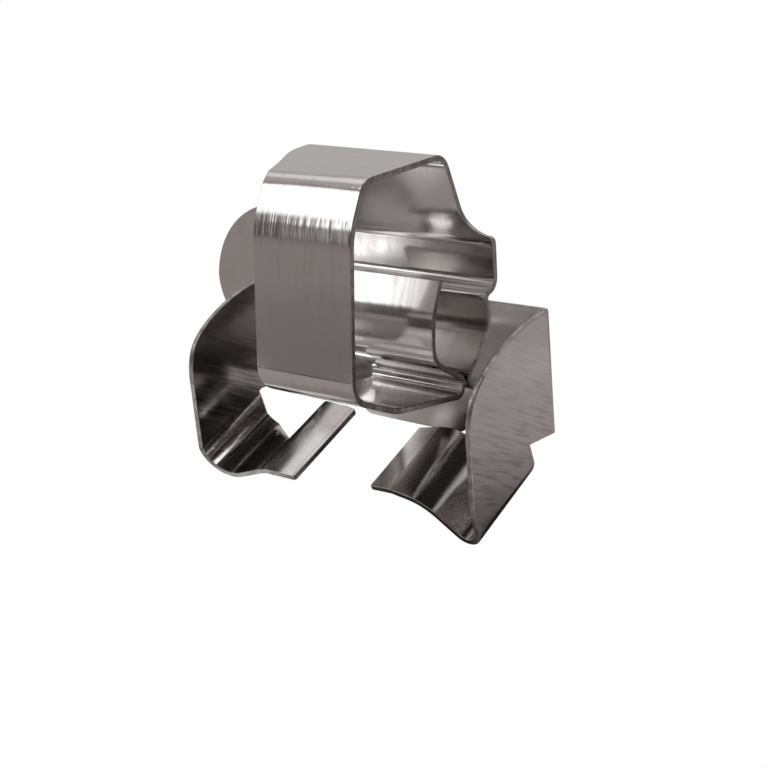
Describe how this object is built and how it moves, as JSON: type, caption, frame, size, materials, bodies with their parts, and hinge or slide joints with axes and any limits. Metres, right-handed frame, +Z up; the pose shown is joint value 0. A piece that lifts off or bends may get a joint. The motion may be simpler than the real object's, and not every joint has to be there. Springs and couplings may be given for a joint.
{
  "type": "anti-rattle clip",
  "caption": "Folded spring-steel brake anti-rattle clip: an open strip loop with a curled tab, side legs with turned-in feet and a rounded ear.",
  "frame": {"origin": "outer face of the loop's front wall, on the middle line of its strip, 8.25 mm above the lower bend's corner", "axes": "+Z up along the loop's front wall, -Y out of that wall towards the open front of the legs, +X towards the leg on the right as seen from the front"},
  "size_m": [0.0388, 0.0176, 0.0305],
  "materials": {
    "spring_steel": "bright rolled strip with fine streaks"
  },
  "bodies": {
    "root": {"clip": "spring_steel"}
  },
  "joints": []
}
